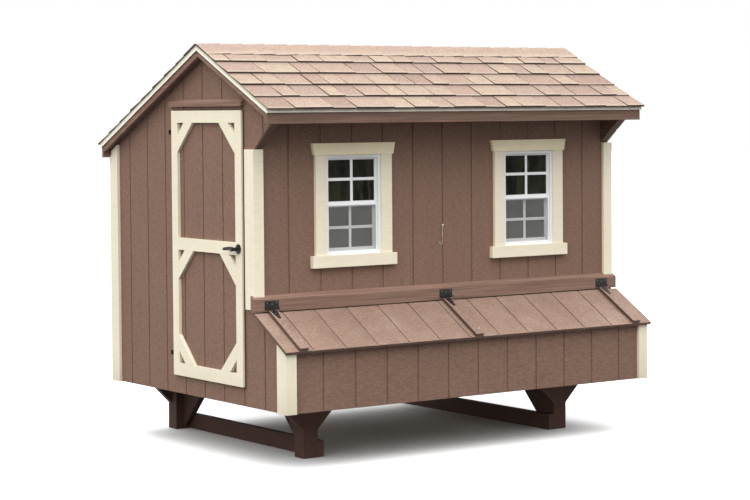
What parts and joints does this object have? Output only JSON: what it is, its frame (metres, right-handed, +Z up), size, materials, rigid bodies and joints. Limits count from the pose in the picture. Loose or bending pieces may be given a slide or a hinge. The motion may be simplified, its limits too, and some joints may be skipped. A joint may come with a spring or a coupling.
{
  "type": "chicken coop",
  "caption": "Raised wooden hen house with asymmetric shingled gable roof, braced side door, windows and a full-length nest box with a hinged lid.",
  "frame": {"origin": "centre of the bounding box on the ground under the posts", "axes": "+X along the 8 ft length with the door wall on the -X end, +Y from the nest box to the back wall, +Z up"},
  "size_m": [2.578, 1.936, 2.2269],
  "materials": {
    "siding": "semi-transparent brown stain over grooved panel siding, satin",
    "lid_wood": "brown stain, sunlit and slightly dusty",
    "trim_paint": "cream paint, satin",
    "legs": "dark brown stained timber",
    "raw_wood": "bare softwood framing and sheathing",
    "shingle": "asphalt shingle, tan blend mineral granules",
    "drip_metal": "off-white painted metal edge",
    "black_iron": "black powder coat",
    "zinc": "bright zinc plate",
    "vinyl": "white window frame",
    "window_glass": "clear glass over a dark interior",
    "screen_mesh": "grey insect screen"
  },
  "bodies": {
    "house": {"posts": "legs", "runners": "legs", "leg_braces": "legs", "floor_frame": "raw_wood", "floor_deck": "raw_wood", "frame_front": "raw_wood", "frame_back": "raw_wood", "frame_gables": "raw_wood", "siding_front": "siding", "siding_back": "siding", "siding_left": "siding", "siding_right": "siding", "nest_front": "siding", "nest_sides": "siding", "nest_frame": "raw_wood", "nest_floor": "raw_wood", "nest_dividers": "raw_wood", "ledger": "siding", "corner_trims": "trim_paint", "roof_deck": "raw_wood", "rafters": "raw_wood", "shingles_front": "shingle", "shingles_back": "shingle", "ridge_cap": "shingle", "drip_edge": "drip_metal", "fascias": "siding", "rake_boards": "siding", "overhang_blocks": "siding", "soffit": "siding", "hinge_wall": "black_iron", "drip_cap": "siding", "window_casings": "trim_paint", "window_frames": "vinyl", "upper_glass": "window_glass", "screens": "screen_mesh", "screen_frames": "vinyl", "lid_hinge_plates": "black_iron", "hook_staple": "zinc", "pop_guides": "trim_paint", "roosts": "raw_wood"},
    "door": {"door_panel": "siding", "door_trim": "trim_paint", "door_braces": "trim_paint", "door_backer": "raw_wood", "door_lock": "black_iron", "door_rose": "black_iron", "hinge_door": "black_iron"},
    "lever": {"door_lever": "black_iron"},
    "bolt": {"door_bolt": "zinc"},
    "lid": {"lid_panel": "lid_wood", "lid_battens": "lid_wood", "lid_hinge_straps": "black_iron", "lid_eye": "zinc"},
    "wall_hook": {"hook": "zinc"},
    "sash_left": {"sash_l": "vinyl", "sash_glass_l": "window_glass"},
    "sash_right": {"sash_r": "vinyl", "sash_glass_r": "window_glass"},
    "hen_door": {"pop_door": "siding"}
  },
  "joints": [
    {"name": "door_swing", "type": "hinge", "parent": "house", "child": "door", "pos_m": [-1.2236, 0.21236, 1.13], "axis": [0, 0, -1], "range_deg": [0, 110]},
    {"name": "lever_turn", "type": "hinge", "parent": "door", "child": "lever", "pos_m": [-1.259, -0.48804, 1.13], "axis": [-1, 0, 0], "range_deg": [0, 45], "stiffness_Nm_per_rad": 1, "springref_deg": -20.05},
    {"name": "bolt_slide", "type": "slide", "parent": "door", "child": "bolt", "axis": [0, 1, 0], "range_m": [0, 0.009]},
    {"name": "lid_lift", "type": "hinge", "parent": "house", "child": "lid", "pos_m": [-0.002, -0.66604, 0.82496], "axis": [-1, 0, 0], "range_deg": [0, 120]},
    {"name": "hook_swing", "type": "hinge", "parent": "house", "child": "wall_hook", "pos_m": [0.001, -0.62654, 1.217], "axis": [0, 1, 0], "range_deg": [-80, 80]},
    {"name": "sash_left_lift", "type": "slide", "parent": "house", "child": "sash_left", "axis": [0, 0, 1], "range_m": [0, 0.2]},
    {"name": "sash_right_lift", "type": "slide", "parent": "house", "child": "sash_right", "axis": [0, 0, 1], "range_m": [0, 0.2]},
    {"name": "hen_door_lift", "type": "slide", "parent": "house", "child": "hen_door", "axis": [0, 0, 1], "range_m": [0, 0.33]}
  ],
  "couplings": [
    {"joint": "bolt_slide", "follows": "lever_turn", "m_per_rad": 0.011459}
  ]
}
